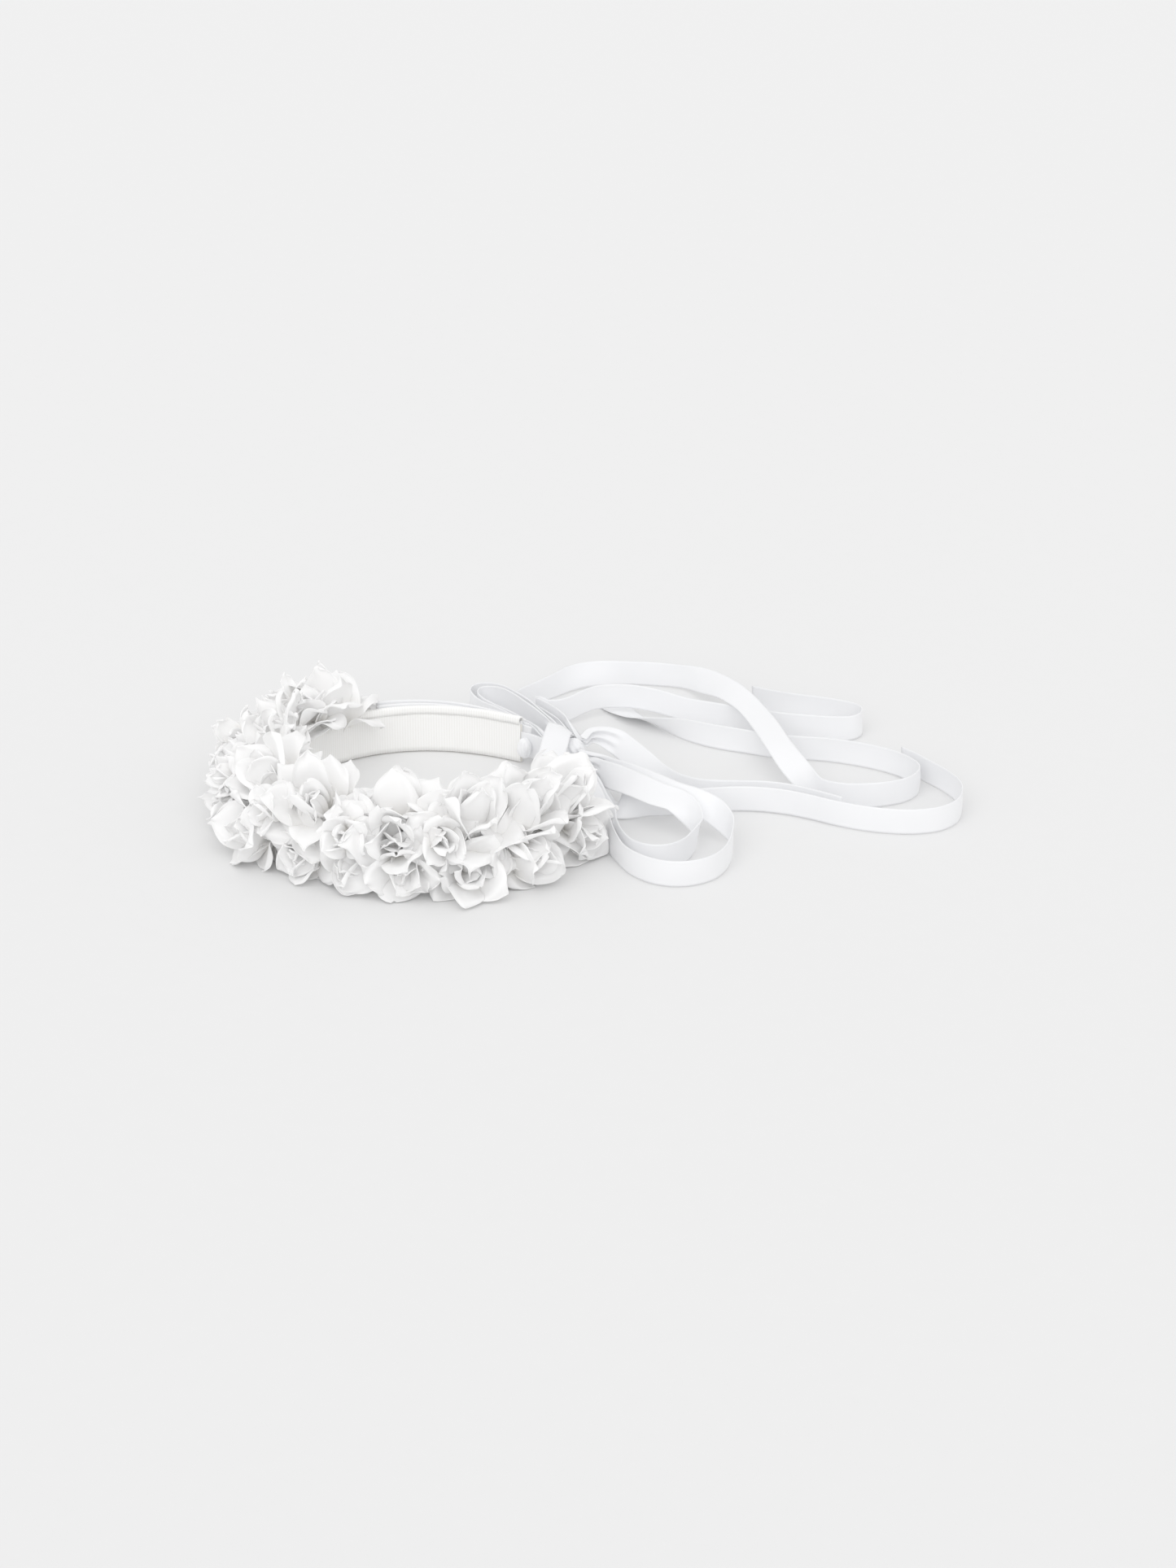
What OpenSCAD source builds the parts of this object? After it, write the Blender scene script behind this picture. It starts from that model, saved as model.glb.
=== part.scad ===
// Ribbon rose hair crown that closes at the back with a satin bow.
// Origin: centre of the head opening, at the level of the lower edge.
// +Z is up through the opening, -Y is the forehead and +Y is the bow.

/* [Head opening] */
// Inside radius of the band away from the bow
opening_r = 81; // [70:1:95]
// How much further out the band runs where it meets the bow
point_out = 7; // [0:1:10]

/* [Band] */
// Height of the grosgrain lining
lining_h = 24.5; // [18:0.5:30]
// Thickness of the lining ribbon
lining_t = 0.8; // [0.5:0.1:1.2]
// Thickness of the stiff core
core_t = 1.6; // [1.2:0.1:2.4]
// Thickness of the satin cover
cover_t = 0.8; // [0.5:0.1:1.2]
// Height of the bound top edge
binding_h = 4; // [2:0.5:5]
// Diameter of the millinery wire in the top edge
wire_d = 1.4; // [0.8:0.1:1.6]

/* [Flowers] */
// Where the flowers start, degrees round from the bow
flowers_from = 80; // [70:1:100]
// Where the flowers end, degrees round from the bow
flowers_to = 304; // [270:1:310]
// Diameter of an upper rose
upper_d = 41; // [30:1:42]
// Number of upper roses
upper_n = 8; // [7:1:8]
// Diameter of a lower rose
lower_d = 30; // [24:1:31]
// Number of lower roses
lower_n = 12; // [9:1:12]
// Diameter of the small buds between the roses
bud_d = 14; // [8:1:15]

/* [Ribbons] */
// Width of the satin ribbon
ribbon_w = 15; // [10:1:16]
// Thickness of the satin ribbon
ribbon_t = 0.8; // [0.6:0.1:1]
// Radius of the bow's knot
knot_r = 7.5; // [6:0.5:8]

/* [Hidden] */

$fn = 64;
ivory = "ivory";
cream = "linen";
far_spread = 24;
near_spread = 11;
band_far_end = 20;
band_near_end = 342;
core_r = lining_t;
cover_r = core_r + core_t;
pad_r = cover_r + cover_t;
sewing_gap = 0.2;
pad_t = 13.5;
pad_h = 25;
edge_z = 0.5;
lining_top = edge_z + lining_h;
wire_z = lining_top - wire_d;
upper_out = 16;
upper_z = 44;
upper_tilt = 45;
lower_out = 32.5;
lower_z = 15.5;
lower_tilt = 4;
knot = [0, 98.5, 15];
step = 4;

// Where the band runs: its inside radius at an angle round from the bow
function wrap_angle(a) = a > 180 ? a - 360 : a;
function spread(a) = wrap_angle(a) > 0 ? far_spread : near_spread;
function band_r(a) = opening_r + point_out * exp(-pow(wrap_angle(a) / spread(a), 2));
function around(a, out = 0) = [-(band_r(a) + out) * sin(a), (band_r(a) + out) * cos(a)];
function count(a0, a1) = round(abs(a1 - a0) / step);
function steps(a0, a1) = [for (i = [0 : count(a0, a1)]) a0 + (a1 - a0) * i / count(a0, a1)];

// A strip of ribbon or board on the band's line, between two distances out from it
module strip(a0, a1, out0, out1, z0, z1) {
    inner = [for (a = steps(a0, a1)) around(a, out0)];
    outer = [for (a = steps(a0, a1)) around(a, out1)];
    last = len(outer) - 1;
    translate([0, 0, z0])
        linear_extrude(z1 - z0)
            polygon(concat(inner, [for (i = [0 : last]) outer[last - i]]));
}

// A rose seen in section: three rings of petals round a bud, facing +Z
module rose(d) {
    section = [
        [0, -0.48], [0.20, -0.44], [0.38, -0.26], [0.47, 0], [0.45, 0.14], [0.40, 0.13],
        [0.38, 0], [0.30, -0.14], [0.33, 0.10], [0.33, 0.24], [0.28, 0.25], [0.26, 0.08],
        [0.20, -0.04], [0.21, 0.18], [0.20, 0.32], [0.15, 0.33], [0.13, 0.12], [0.10, 0.04],
        [0.10, 0.25], [0.07, 0.38], [0, 0.40]];
    rotate_extrude()
        polygon(section * d);
}

// Puts its children at an angle round the band, with +Z turned outward and up by tilt
module facing_out(a, out, z, tilt) {
    translate([around(a, out)[0], around(a, out)[1], z])
        rotate([0, 0, a + 90])
            rotate([0, 90 - tilt, 0])
                children();
}

function upper_angle(i) = flowers_from + (i - 0.5) * (flowers_to - flowers_from) / upper_n;
function lower_angle(i) = flowers_from + (i - 0.5) * (flowers_to - flowers_from) / lower_n;

module upper_rose(i) {
    color(ivory)
        facing_out(upper_angle(i), upper_out, upper_z, upper_tilt)
            rose(upper_d);
}

module lower_rose(i) {
    color(ivory)
        facing_out(lower_angle(i), lower_out, lower_z, lower_tilt)
            rose(lower_d);
}

// Small buds tucked between the upper roses, over the opening
module inner_buds() {
    color(ivory)
        for (i = [1 : upper_n - 1])
            facing_out(upper_angle(i + 0.5), 2, 57, 60)
                rose(bud_d);
}

// Small buds tucked between the upper roses, on the outside
module outer_buds() {
    color(ivory)
        for (i = [1 : upper_n - 1])
            facing_out(upper_angle(i + 0.5), 36, 38, 10)
                rose(bud_d);
}

// Ribbed ribbon round the inside
module grosgrain_lining() {
    color(cream)
        strip(band_far_end, band_near_end, 0, core_r, edge_z, lining_top);
}

// Stiff board that holds the band's shape
module band_core() {
    color("tan")
        strip(band_far_end, band_near_end, core_r, cover_r, edge_z, wire_z - 0.1);
}

// Wire that lies on the core, between the lining and the cover
module edge_wire() {
    color("silver")
        strip(band_far_end + 1, band_near_end - 1, core_r + 0.1, cover_r - 0.1, wire_z, lining_top);
}

// Satin over the outside of the core
module satin_cover() {
    color(ivory)
        strip(band_far_end, band_near_end, cover_r, pad_r, 0, lining_top);
}

// Folded satin that closes the top edge
module top_binding() {
    color(ivory)
        strip(band_far_end, band_near_end, 0, pad_r, lining_top, lining_top + binding_h);
}

// Felt that the roses are sewn to
module felt_pad() {
    color(cream)
        strip(flowers_from, flowers_to, pad_r + sewing_gap, pad_r + pad_t, 0, pad_h);
}

// Satin strap that joins the two ends of the band inside the bow
module back_strap() {
    color(ivory)
        strip(band_near_end - 360 + 0.5, band_far_end - 0.5, 0, ribbon_t, 5, 5 + ribbon_w);
}

// Ribbon wound round the strap, that the bow is sewn to
module strap_wrap() {
    color(ivory)
        difference() {
            strip(-8, 3, -1.2, ribbon_t + 1.2, 2.5, 21.5);
            strip(-9, 4, -0.4, ribbon_t + 0.4, 4.6, 5.4 + ribbon_w);
        }
}

// Gathered end of the far tie
module end_gather() {
    color(ivory)
        translate([-22.5, 78.5, 12])
            rotate_extrude()
                polygon([[0, -6], [2.5, -5], [3.5, 0], [2.5, 5], [0, 6]]);
}

// The bow's knot turns on the strap about an upright line through its middle
module bow_knot() {
    color(ivory)
        translate(knot)
            rotate_extrude()
                polygon([for (a = [-90 : 15 : 90]) knot_r * [max(0, cos(a)), sin(a)]]);
}

// Sweeps the satin ribbon along a route of [x, y, z, turn], where a turn of 0 stands
// the ribbon on its edge and 90 lays it flat. It narrows where the knot pinches an end.
// Both faces are split along the same diagonals, so that a twist keeps its thickness.
function unit(v) = v / norm(v);
function place(q) = [q[0], q[1], q[2]];
function heading(route, i) =
    unit(place(route[min(i + 1, len(route) - 1)]) - place(route[max(i - 1, 0)]));
function sideways(t) = unit(cross([0, 0, 1], t));
function across(t, turn) = cos(turn) * cross(t, sideways(t)) + sin(turn) * sideways(t);
function pinch(i) = i == 0 ? 0.3 : i == 1 ? 0.5 : i == 2 ? 0.8 : 1;
function width_at(i, n, pinch_start, pinch_end) =
    ribbon_w * min(pinch_start ? pinch(i) : 1, pinch_end ? pinch(n - 1 - i) : 1);
flat_oval = [[0.5, 0.2], [0.3, 0.5], [-0.3, 0.5], [-0.5, 0.2],
             [-0.5, -0.2], [-0.3, -0.5], [0.3, -0.5], [0.5, -0.2]];

module ribbon(route, pinch_start = true, pinch_end = false) {
    n = len(route);
    m = len(flat_oval);
    rings = [for (i = [0 : n - 1])
        let (t = heading(route, i), w = across(t, route[i][3]), b = cross(t, w))
            for (q = flat_oval)
                place(route[i]) + q[0] * width_at(i, n, pinch_start, pinch_end) * w + q[1] * ribbon_t * b];
    sides = [for (i = [0 : n - 2], j = [0 : m - 1], half = [0, 1])
        let (a = i * m + j, b = i * m + (j + 1) % m)
            j < m / 2
                ? (half == 0 ? [a, b + m, b] : [a, a + m, b + m])
                : (half == 0 ? [a, a + m, b] : [a + m, b + m, b])];
    caps = [for (j = [1 : m - 2], end = [0, 1])
        end == 0 ? [0, j, j + 1] : [(n - 1) * m, (n - 1) * m + j + 1, (n - 1) * m + j]];
    color(ivory)
        polyhedron(rings, concat(sides, caps));
}

// Ties that run from the flowers to the bow outside the band, dropping on the way
function tie_route(a0, a1, out, z0, z1) = [for (a = steps(a0, a1))
    [around(a, out)[0], around(a, out)[1], z0 + (z1 - z0) * pow((a - a0) / (a1 - a0), 2), 0]];

far_tie_inner_route = tie_route(79, 17, pad_r + 0.8, 20, 15);
far_tie_middle_route = tie_route(79, 19, pad_r + 2.4, 21.5, 16);
far_tie_outer_route = tie_route(79, 21, pad_r + 4, 23, 17);
near_tie_inner_route = tie_route(305, 346, pad_r + 0.8, 16, 16);

// The near tie that lies open across the inside of the band's end and over the knot
near_tie_outer_route = [
    [56, 50, 12, 20], [46, 59, 14, 40], [28, 65, 18, 70], [9, 80, 24, 75], [-3, 90, 27, 80],
    [-12, 97, 25, 65]];

tail_far_route = [
    [-9, 102, 17, 0], [-24, 105, 15, 0], [-42, 107, 13, 0], [-60, 108, 11, 0], [-74, 107, 9, 0],
    [-84, 108, 8, 0], [-90, 113, 8, 0], [-93, 121, 8, 0], [-96, 131, 8, 0], [-100, 144, 8, 5],
    [-104, 156, 8, 15], [-105, 165, 8, 20], [-102, 177, 8, 15], [-95, 190, 8, 0], [-84, 205, 8, 0],
    [-70, 216, 9, 0], [-49, 219, 13, 30], [-20, 216, 19, 60], [6, 213, 20, 80], [32, 207, 20, 80],
    [60, 199, 19, 80], [79, 196, 15, 60], [92, 197, 10, 30], [104, 199, 8, 0], [115, 205, 8, 0],
    [122, 215, 8, 0], [127, 228, 8, 0], [128, 241, 8, 0], [124, 251, 8, 0], [117, 257, 8, 0],
    [108, 258, 8, 0], [97, 256, 8, 0], [85, 251, 8, 0], [71, 242, 8, 0], [59, 231, 8, 0],
    [49, 219, 8, 0], [39, 208, 8, 0], [26, 198, 8, 0], [12, 187, 8, 0], [-3, 178, 8, 10],
    [-23, 171, 6, 40], [-44, 167, 3, 70], [-67, 167, 1, 90], [-84, 167, 1, 90], [-96, 166, 1, 90]];

tail_middle_route = [
    [-4, 106, 15, 0], [-18, 108, 16, 0], [-34, 110, 16, 0], [-50, 111, 15, 0], [-60, 111, 14, 0],
    [-67, 112, 12, 0], [-70, 115, 11, 0], [-68, 119, 9, 0], [-64, 125, 9, 0], [-62, 132, 10, 0],
    [-62, 141, 12, 0], [-62, 150, 13, 0], [-59, 160, 13, 0], [-52, 170, 13, 0], [-43, 181, 11, 0],
    [-30, 193, 8, 0], [-15, 204, 8, 0], [0, 215, 8, 0], [15, 228, 8, 0], [28, 242, 8, 0],
    [38, 254, 8, 0], [42, 263, 8, 0], [39, 271, 8, 0], [31, 275, 8, 0], [21, 271, 8, 0],
    [8, 261, 8, 0], [-3, 251, 8, 0], [-14, 243, 8, 0], [-25, 236, 8, 0]];

tail_short_route = [
    [2, 104, 20, 0], [-1, 111, 21, 10], [1, 117, 20, 20], [7, 122, 18, 30], [17, 125, 15, 35],
    [31, 127, 12, 35], [44, 129, 9, 25], [57, 132, 8, 10], [68, 138, 8, 0], [77, 148, 8, 0],
    [85, 160, 8, 0], [93, 171, 8, 0], [103, 180, 8, 0], [117, 188, 8, 0], [131, 195, 8, 0]];

tail_near_route = [
    [9, 98, 8, 0], [20, 97, 4, 60], [33, 95, 1, 90], [45, 92, 1, 90], [56, 91, 3, 70],
    [64, 95, 7, 30], [70, 104, 8, 0], [75, 115, 8, 0], [79, 126, 8, 0], [83, 138, 8, 0],
    [89, 151, 8, 0], [97, 163, 8, 0], [107, 173, 8, 0], [119, 181, 8, 0], [133, 189, 8, 0],
    [146, 198, 8, 0], [157, 209, 8, 0], [165, 221, 8, 0], [169, 235, 8, 0], [166, 248, 8, 0],
    [157, 258, 8, 0], [146, 264, 8, 0], [134, 266, 8, 0], [122, 266, 8, 0], [112, 265, 8, 0],
    [102, 264, 8, 0], [92, 262, 8, 0]];

front_loop_outer_route = [
    [7, 91, 14, 0], [20, 87, 14, 20], [36, 84, 12, 45], [53, 79, 11, 55], [71, 73, 9, 45],
    [89, 67, 8, 20], [107, 62, 8, 5], [123, 59, 8, 0], [137, 61, 8, 0], [147, 66, 8, 0],
    [154, 74, 8, 0], [157, 84, 8, 0], [156, 95, 8, 0], [149, 107, 8, 0], [139, 117, 9, 0],
    [127, 124, 11, -10], [114, 123, 16, -30], [103, 116, 21, -55], [91, 109, 22, -55],
    [76, 105, 22, -50], [57, 102, 20, -30], [37, 100, 17, -10], [20, 98, 17, 0], [9, 97, 17, 0]];

front_loop_inner_route = [
    [8, 93, 11, 0], [21, 90, 11, 20], [37, 87, 10, 45], [54, 82, 8, 55], [72, 77, 8, 45],
    [89, 71, 8, 20], [106, 67, 8, 5], [119, 67, 8, 0], [128, 72, 8, 0], [132, 80, 8, 0],
    [131, 90, 8, 0], [125, 100, 8, 0], [118, 108, 10, -10], [109, 110, 16, -30],
    [98, 107, 21, -55], [87, 101, 22, -55], [71, 97, 22, -50], [52, 96, 19, -30],
    [34, 95, 16, -5], [19, 96, 14, 0], [10, 95, 12, 0]];

back_loop_outer_route = [
    [-9, 100, 15, 0], [-20, 101, 15, 0], [-34, 102, 15, 0], [-48, 103, 15, 0], [-62, 104, 15, 0],
    [-76, 103, 15, 0], [-88, 101, 15, 0], [-97, 97, 14, 0], [-101, 91, 13, 0], [-99, 86, 12, 0],
    [-92, 84, 11, 0], [-83, 85, 10, 0], [-72, 88, 10, 0], [-60, 90, 10, 0], [-46, 92, 10, 0],
    [-30, 93, 10, 0], [-12, 94, 10, 0]];

back_loop_inner_route = [
    [-10, 98, 14, 0], [-21, 99, 15, 0], [-35, 100, 15, 0], [-49, 101, 15, 0], [-62, 101, 15, 0],
    [-74, 101, 15, 0], [-84, 99, 15, 0], [-91, 96, 14, 0], [-95, 92, 13, 0], [-93, 88, 12, 0],
    [-86, 87, 11, 0], [-78, 89, 10, 0], [-68, 91, 10, 0], [-56, 93, 10, 0], [-44, 94, 10, 0],
    [-30, 95, 10, 0], [-11, 96, 10, 0]];

grosgrain_lining();
band_core();
edge_wire();
satin_cover();
top_binding();
felt_pad();
back_strap();
strap_wrap();
end_gather();
ribbon(far_tie_inner_route, pinch_start = false);  // far_tie_inner
ribbon(far_tie_middle_route, pinch_start = false);  // far_tie_middle
ribbon(far_tie_outer_route, pinch_start = false);  // far_tie_outer
ribbon(near_tie_inner_route, pinch_start = false);  // near_tie_inner
ribbon(near_tie_outer_route, pinch_start = false);  // near_tie_outer
bow_knot();
ribbon(front_loop_outer_route, pinch_end = true);  // front_loop_outer
ribbon(front_loop_inner_route, pinch_end = true);  // front_loop_inner
ribbon(back_loop_outer_route, pinch_end = true);  // back_loop_outer
ribbon(back_loop_inner_route, pinch_end = true);  // back_loop_inner
ribbon(tail_far_route);  // tail_far
ribbon(tail_middle_route);  // tail_middle
ribbon(tail_short_route);  // tail_short
ribbon(tail_near_route);  // tail_near
inner_buds();
outer_buds();
for (i = [1 : upper_n])
    upper_rose(i);
for (i = [1 : lower_n])
    lower_rose(i);
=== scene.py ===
"""Ribbon rose hair crown: satin roses, grosgrain lining, ties and a looped bow on a pale table."""
import math
import random

import bpy
from mathutils import Matrix, Vector, noise


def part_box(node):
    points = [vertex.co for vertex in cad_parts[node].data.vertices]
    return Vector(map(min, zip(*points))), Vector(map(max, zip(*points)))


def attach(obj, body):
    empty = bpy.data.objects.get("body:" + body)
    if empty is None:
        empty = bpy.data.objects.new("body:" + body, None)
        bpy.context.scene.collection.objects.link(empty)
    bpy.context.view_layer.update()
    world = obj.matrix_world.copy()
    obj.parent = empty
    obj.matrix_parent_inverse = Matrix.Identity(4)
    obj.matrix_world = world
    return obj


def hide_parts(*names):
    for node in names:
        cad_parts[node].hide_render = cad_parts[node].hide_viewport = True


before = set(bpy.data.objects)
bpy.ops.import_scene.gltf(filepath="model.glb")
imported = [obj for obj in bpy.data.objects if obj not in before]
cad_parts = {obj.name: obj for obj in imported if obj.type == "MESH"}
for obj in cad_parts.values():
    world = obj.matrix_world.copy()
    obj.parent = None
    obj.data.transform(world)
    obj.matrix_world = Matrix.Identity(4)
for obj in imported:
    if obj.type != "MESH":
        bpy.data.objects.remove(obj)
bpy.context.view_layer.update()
MM = 0.001
UP = Vector((0, 0, 1))


# ---------------------------------------------------------------- camera
VIEW_AZIMUTH = math.radians(59.4)
VIEW_ELEVATION = math.radians(25)
VIEW_DISTANCE = 2.07
LENS = 85
AIM = Vector((0.0473, 0.0801, 0.0171))


def make_camera():
    data = bpy.data.cameras.new("camera")
    data.lens = LENS
    data.sensor_width = 36
    camera = bpy.data.objects.new("camera", data)
    towards = Vector((
        math.sin(VIEW_AZIMUTH) * math.cos(VIEW_ELEVATION),
        -math.cos(VIEW_AZIMUTH) * math.cos(VIEW_ELEVATION),
        math.sin(VIEW_ELEVATION)))
    camera.location = AIM + towards * VIEW_DISTANCE
    camera.rotation_euler = (-towards).to_track_quat("-Z", "Y").to_euler()
    bpy.context.scene.collection.objects.link(camera)
    bpy.context.scene.camera = camera


make_camera()


# ---------------------------------------------------------------- materials
# A Mix node's colour sockets by number, as its sockets of other kinds share their names
MIX_A, MIX_B, MIX_RESULT = 6, 7, 2


def nodes_of(name):
    material = bpy.data.materials.new(name)
    material.use_nodes = True
    tree = material.node_tree
    return material, tree, tree.nodes["Principled BSDF"]


def add(tree, kind, **values):
    node = tree.nodes.new(kind)
    for key, value in values.items():
        if key in node.inputs:
            node.inputs[key].default_value = value
        else:
            setattr(node, key, value)
    return node


def cloth_colour(tree, shader, light, deep, scale):
    """A soft mottle between two close tones of the cloth."""
    place = add(tree, "ShaderNodeTexCoord")
    cloud = add(tree, "ShaderNodeTexNoise", Scale=scale, Detail=3.0)
    tree.links.new(place.outputs["Object"], cloud.inputs["Vector"])
    ramp = add(tree, "ShaderNodeValToRGB")
    ramp.color_ramp.elements[0].position = 0.35
    ramp.color_ramp.elements[0].color = (*deep, 1)
    ramp.color_ramp.elements[1].position = 0.65
    ramp.color_ramp.elements[1].color = (*light, 1)
    tree.links.new(cloud.outputs["Fac"], ramp.inputs["Fac"])
    tree.links.new(ramp.outputs["Color"], shader.inputs["Base Color"])
    return place


def paint_shade_towards_base(tree, shader, shade_tone):
    """Paints a warmer tone towards a petal's base: painted shade and warm bounce light where the folds
    shade it.
    """
    rim = add(tree, "ShaderNodeAttribute", attribute_name="rim")
    fade = add(tree, "ShaderNodeMapRange")
    fade.inputs["From Min"].default_value = 0.05
    fade.inputs["From Max"].default_value = 0.55
    tree.links.new(rim.outputs["Fac"], fade.inputs["Value"])
    mix = add(tree, "ShaderNodeMix", data_type="RGBA")
    link = shader.inputs["Base Color"].links[0]
    tree.links.new(link.from_socket, mix.inputs[MIX_B])
    mix.inputs[MIX_A].default_value = (*shade_tone, 1)
    tree.links.new(fade.outputs["Result"], mix.inputs["Factor"])
    tree.links.new(mix.outputs[MIX_RESULT], shader.inputs["Base Color"])


def satin(name, light, deep, roughness, crumple, glow):
    """Woven satin: long fine threads along the ribbon, a thread-scale weave and soft crumples."""
    material, tree, shader = nodes_of(name)
    place = cloth_colour(tree, shader, light, deep, 60)
    shader.inputs["Roughness"].default_value = roughness
    shader.inputs["Specular IOR Level"].default_value = 0.45
    shader.inputs["Sheen Weight"].default_value = 0.25
    shader.inputs["Sheen Roughness"].default_value = 0.4
    shader.inputs["Subsurface Weight"].default_value = glow
    shader.inputs["Subsurface Radius"].default_value = (0.003, 0.003, 0.003)
    shader.inputs["Subsurface Scale"].default_value = 1.0
    threads = add(tree, "ShaderNodeMapping")
    threads.inputs["Scale"].default_value = (150, 3600, 1)
    tree.links.new(place.outputs["UV"], threads.inputs["Vector"])
    weave = add(tree, "ShaderNodeTexNoise", Scale=1.0, Detail=2.0)
    tree.links.new(threads.outputs["Vector"], weave.inputs["Vector"])
    folds = add(tree, "ShaderNodeTexNoise", Scale=90.0, Detail=3.0, Roughness=0.45)
    tree.links.new(place.outputs["Object"], folds.inputs["Vector"])
    fine = add(tree, "ShaderNodeBump", Strength=0.12, Distance=0.0001)
    tree.links.new(weave.outputs["Fac"], fine.inputs["Height"])
    broad = add(tree, "ShaderNodeBump", Strength=crumple, Distance=0.0012)
    tree.links.new(folds.outputs["Fac"], broad.inputs["Height"])
    tree.links.new(fine.outputs["Normal"], broad.inputs["Normal"])
    tree.links.new(broad.outputs["Normal"], shader.inputs["Normal"])
    return material


def matt_cloth(name, light, deep, grain):
    """Matt woven cloth or felt with a fine grain."""
    material, tree, shader = nodes_of(name)
    place = cloth_colour(tree, shader, light, deep, 80)
    shader.inputs["Roughness"].default_value = 0.8
    shader.inputs["Specular IOR Level"].default_value = 0.2
    shader.inputs["Sheen Weight"].default_value = 0.3
    fuzz = add(tree, "ShaderNodeTexNoise", Scale=grain, Detail=4.0)
    tree.links.new(place.outputs["Object"], fuzz.inputs["Vector"])
    bump = add(tree, "ShaderNodeBump", Strength=0.3, Distance=0.0002)
    tree.links.new(fuzz.outputs["Fac"], bump.inputs["Height"])
    tree.links.new(bump.outputs["Normal"], shader.inputs["Normal"])
    return material


def rib_shade(material, pitch, groove_painted_shade):
    """Paints shade between the cross ribs, which run across the cloth's length: a darker colour in the
    grooves.
    """
    tree = material.node_tree
    shader = tree.nodes["Principled BSDF"]
    base = shader.inputs["Base Color"].links[0].from_socket
    place = add(tree, "ShaderNodeTexCoord")
    along = add(tree, "ShaderNodeSeparateXYZ")
    tree.links.new(place.outputs["UV"], along.inputs["Vector"])
    phase = add(tree, "ShaderNodeMath")
    phase.operation = "MULTIPLY"
    phase.inputs[1].default_value = 2 * math.pi / pitch
    tree.links.new(along.outputs["X"], phase.inputs[0])
    wave = add(tree, "ShaderNodeMath")
    wave.operation = "COSINE"
    tree.links.new(phase.outputs["Value"], wave.inputs[0])
    share = add(tree, "ShaderNodeMapRange")
    share.inputs["From Min"].default_value = -1
    share.inputs["To Min"].default_value = 1
    share.inputs["To Max"].default_value = 0
    tree.links.new(wave.outputs["Value"], share.inputs["Value"])
    mix = add(tree, "ShaderNodeMix", data_type="RGBA")
    mix.inputs[MIX_B].default_value = (*groove_painted_shade, 1)
    tree.links.new(share.outputs["Result"], mix.inputs["Factor"])
    tree.links.new(base, mix.inputs[MIX_A])
    tree.links.new(mix.outputs[MIX_RESULT], shader.inputs["Base Color"])


def drawn_wire(name):
    material, tree, shader = nodes_of(name)
    cloth_colour(tree, shader, (0.62, 0.62, 0.62), (0.5, 0.5, 0.5), 200)
    shader.inputs["Metallic"].default_value = 1.0
    shader.inputs["Roughness"].default_value = 0.35
    return material


RIBBON_SATIN = satin("ribbon_satin", (0.868, 0.874, 0.894), (0.858, 0.864, 0.884), 0.34, 0.12, 0.12)
PETAL_SATIN = satin("petal_satin", (0.978, 0.975, 0.974), (0.972, 0.966, 0.960), 0.36, 0.18, 0.40)
# Painted shade: this warm cream, painted into each petal's base, stands in for shade and warm bounce light
# in the folds
PETAL_PAINTED_SHADE_TONE = (0.968, 0.948, 0.905)
paint_shade_towards_base(
    PETAL_SATIN.node_tree, PETAL_SATIN.node_tree.nodes["Principled BSDF"], PETAL_PAINTED_SHADE_TONE)
RIB_PITCH = 1.5
GROSGRAIN = matt_cloth("grosgrain", (0.99, 0.988, 0.975), (0.985, 0.982, 0.966), 1500)
# Painted shade: a darker colour in the grooves between the grosgrain ribs
rib_shade(GROSGRAIN, RIB_PITCH * MM, (0.90, 0.893, 0.865))
FELT = matt_cloth("felt", (0.88, 0.865, 0.83), (0.85, 0.832, 0.79), 600)
BUCKRAM = matt_cloth("buckram", (0.82, 0.78, 0.70), (0.78, 0.74, 0.66), 900)
WIRE = drawn_wire("wire")


# ---------------------------------------------------------------- mesh helpers
def mesh_object(name, points, faces, material, uvs=None):
    mesh = bpy.data.meshes.new(name)
    mesh.from_pydata([tuple(p) for p in points], [], faces)
    if uvs:
        layer = mesh.uv_layers.new(name="cloth")
        for loop in mesh.loops:
            layer.data[loop.index].uv = uvs[loop.vertex_index]
    mesh.polygons.foreach_set("use_smooth", [True] * len(mesh.polygons))
    mesh.materials.append(material)
    mesh.update()
    piece = bpy.data.objects.new(name, mesh)
    bpy.context.scene.collection.objects.link(piece)
    return piece


def spline(points, spacing):
    """Evenly spaced points on a smooth curve through points, which may have any length."""
    size = len(points[0])
    ends = [
        [2 * points[0][k] - points[1][k] for k in range(size)],
        [2 * points[-1][k] - points[-2][k] for k in range(size)]]
    chain = [ends[0]] + [list(p) for p in points] + [ends[1]]

    def knot(a, b):
        return max(1e-6, math.dist(a[:3], b[:3])) ** 0.5

    def mix(a, b, ta, tb, t):
        return [(x * (tb - t) + y * (t - ta)) / (tb - ta) for x, y in zip(a, b)]

    dense = []
    for i in range(1, len(chain) - 2):
        a, b, c, d = chain[i - 1:i + 3]
        t0 = 0
        t1 = t0 + knot(a, b)
        t2 = t1 + knot(b, c)
        t3 = t2 + knot(c, d)
        count = 24
        for j in range(count):
            t = t1 + (t2 - t1) * j / count
            ab, bc, cd = mix(a, b, t0, t1, t), mix(b, c, t1, t2, t), mix(c, d, t2, t3, t)
            dense.append(mix(mix(ab, bc, t0, t2, t), mix(bc, cd, t1, t3, t), t1, t2, t))
    dense.append(list(points[-1]))
    run = [0]
    for a, b in zip(dense, dense[1:]):
        run.append(run[-1] + math.dist(a[:3], b[:3]))
    count = max(2, round(run[-1] / spacing))
    even, at = [], 0
    for j in range(count + 1):
        want = run[-1] * j / count
        while at < len(run) - 2 and run[at + 1] < want:
            at += 1
        share = (want - run[at]) / max(1e-9, run[at + 1] - run[at])
        even.append([x + (y - x) * min(1, share) for x, y in zip(dense[at], dense[at + 1])])
    return even, run[-1]


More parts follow.
